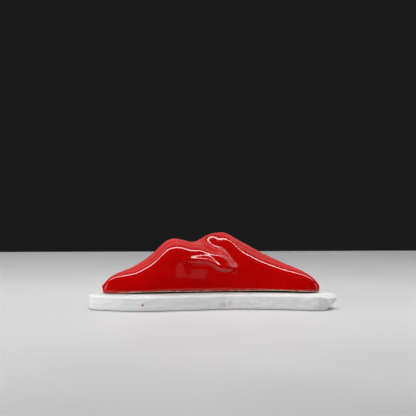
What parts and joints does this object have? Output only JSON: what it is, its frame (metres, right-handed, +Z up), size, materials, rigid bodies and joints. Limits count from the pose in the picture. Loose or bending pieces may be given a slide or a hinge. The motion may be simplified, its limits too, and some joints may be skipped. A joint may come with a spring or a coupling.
{
  "type": "novelty shaped telephone",
  "caption": "Table telephone shaped like closed red lips: a glossy handset with its keypad underneath, resting on a flat white plate and lifting off to answer.",
  "frame": {"origin": "on the table, under the middle of the white plate", "axes": "+Z up, +X along the length to the right as seen from the upper lip's side, which faces -Y"},
  "size_m": [0.247, 0.131, 0.0721],
  "materials": {
    "red_gloss": "clear glossy red lacquer",
    "white_paint": "chalky white paint, brushed on",
    "black_plastic": "moulded, fine grain",
    "steel": "plain",
    "rubber": "soft matte",
    "screw_steel": "zinc plated",
    "ivory_plastic": "moulded, satin",
    "charcoal_plastic": "moulded, satin",
    "grey_rubber": "translucent silicone",
    "board_green": "solder mask",
    "capacitor_can": "sleeved can",
    "transformer_core": "varnished laminations",
    "resistor_body": "lacquered",
    "capsule_metal": "spun",
    "brass": "bright",
    "white_plastic": "smooth",
    "switch_metal": "folded",
    "key_plastic": "satin",
    "red_wire": "insulation",
    "blue_wire": "insulation",
    "yellow_wire": "insulation",
    "green_wire": "insulation",
    "white_wire": "insulation"
  },
  "bodies": {
    "base": {"base_shell": "white_paint", "base_cover": "black_plastic", "ballast_plate": "steel", "base_feet": "rubber", "base_screws": "screw_steel"},
    "handset": {"lip_shell": "red_gloss", "face_plate": "ivory_plastic", "keypad_bezel": "charcoal_plastic", "keypad_membrane": "grey_rubber", "circuit_board": "board_green", "board_screws": "screw_steel", "dialler_chip": "black_plastic", "capacitors": "capacitor_can", "line_transformer": "transformer_core", "resistors": "resistor_body", "receiver_gasket": "rubber", "receiver_capsule": "capsule_metal", "receiver_retainer": "black_plastic", "microphone_boot": "rubber", "microphone_capsule": "capsule_metal", "ringer_chamber": "black_plastic", "ringer_disc": "brass", "hook_guide": "ivory_plastic", "hook_switch": "black_plastic", "hook_bellows": "grey_rubber", "tone_switch_body": "switch_metal", "ringer_switch_body": "switch_metal", "line_jack": "black_plastic", "jack_contacts": "brass", "receiver_leads": "red_wire", "microphone_leads": "blue_wire", "ringer_leads": "yellow_wire", "line_leads": "green_wire", "hook_leads": "white_wire", "shell_screws": "screw_steel", "rest_pads": "rubber"},
    "key_1": {"key_1": "key_plastic"},
    "key_2": {"key_2": "key_plastic"},
    "key_3": {"key_3": "key_plastic"},
    "key_4": {"key_4": "key_plastic"},
    "key_5": {"key_5": "key_plastic"},
    "key_6": {"key_6": "key_plastic"},
    "key_7": {"key_7": "key_plastic"},
    "key_8": {"key_8": "key_plastic"},
    "key_9": {"key_9": "key_plastic"},
    "key_star": {"key_star": "key_plastic"},
    "key_0": {"key_0": "key_plastic"},
    "key_hash": {"key_hash": "key_plastic"},
    "hook_plunger": {"hook_plunger": "white_plastic"},
    "tone_knob": {"tone_switch_knob": "black_plastic"},
    "ringer_knob": {"ringer_switch_knob": "black_plastic"}
  },
  "joints": [
    {"name": "handset_lift", "type": "slide", "parent": "base", "child": "handset", "axis": [0, 0, 1], "range_m": [0, 0.12]},
    {"name": "key_1_press", "type": "slide", "parent": "handset", "child": "key_1", "axis": [0, 0, 1], "range_m": [0, 0.0018], "stiffness_N_per_m": 300, "deforming": ["keypad_membrane"]},
    {"name": "key_2_press", "type": "slide", "parent": "handset", "child": "key_2", "axis": [0, 0, 1], "range_m": [0, 0.0018], "stiffness_N_per_m": 300, "deforming": ["keypad_membrane"]},
    {"name": "key_3_press", "type": "slide", "parent": "handset", "child": "key_3", "axis": [0, 0, 1], "range_m": [0, 0.0018], "stiffness_N_per_m": 300, "deforming": ["keypad_membrane"]},
    {"name": "key_4_press", "type": "slide", "parent": "handset", "child": "key_4", "axis": [0, 0, 1], "range_m": [0, 0.0018], "stiffness_N_per_m": 300, "deforming": ["keypad_membrane"]},
    {"name": "key_5_press", "type": "slide", "parent": "handset", "child": "key_5", "axis": [0, 0, 1], "range_m": [0, 0.0018], "stiffness_N_per_m": 300, "deforming": ["keypad_membrane"]},
    {"name": "key_6_press", "type": "slide", "parent": "handset", "child": "key_6", "axis": [0, 0, 1], "range_m": [0, 0.0018], "stiffness_N_per_m": 300, "deforming": ["keypad_membrane"]},
    {"name": "key_7_press", "type": "slide", "parent": "handset", "child": "key_7", "axis": [0, 0, 1], "range_m": [0, 0.0018], "stiffness_N_per_m": 300, "deforming": ["keypad_membrane"]},
    {"name": "key_8_press", "type": "slide", "parent": "handset", "child": "key_8", "axis": [0, 0, 1], "range_m": [0, 0.0018], "stiffness_N_per_m": 300, "deforming": ["keypad_membrane"]},
    {"name": "key_9_press", "type": "slide", "parent": "handset", "child": "key_9", "axis": [0, 0, 1], "range_m": [0, 0.0018], "stiffness_N_per_m": 300, "deforming": ["keypad_membrane"]},
    {"name": "key_star_press", "type": "slide", "parent": "handset", "child": "key_star", "axis": [0, 0, 1], "range_m": [0, 0.0018], "stiffness_N_per_m": 300, "deforming": ["keypad_membrane"]},
    {"name": "key_0_press", "type": "slide", "parent": "handset", "child": "key_0", "axis": [0, 0, 1], "range_m": [0, 0.0018], "stiffness_N_per_m": 300, "deforming": ["keypad_membrane"]},
    {"name": "key_hash_press", "type": "slide", "parent": "handset", "child": "key_hash", "axis": [0, 0, 1], "range_m": [0, 0.0018], "stiffness_N_per_m": 300, "deforming": ["keypad_membrane"]},
    {"name": "hook_plunger_slide", "type": "slide", "parent": "handset", "child": "hook_plunger", "axis": [0, 0, -1], "range_m": [0, 0.004], "deforming": ["hook_bellows"]},
    {"name": "tone_switch_slide", "type": "slide", "parent": "handset", "child": "tone_knob", "axis": [1, 0, 0], "range_m": [0, 0.004]},
    {"name": "ringer_switch_slide", "type": "slide", "parent": "handset", "child": "ringer_knob", "axis": [1, 0, 0], "range_m": [0, 0.004]}
  ],
  "couplings": [
    {"joint": "hook_plunger_slide", "follows": "handset_lift", "ratio": 0.033333}
  ]
}
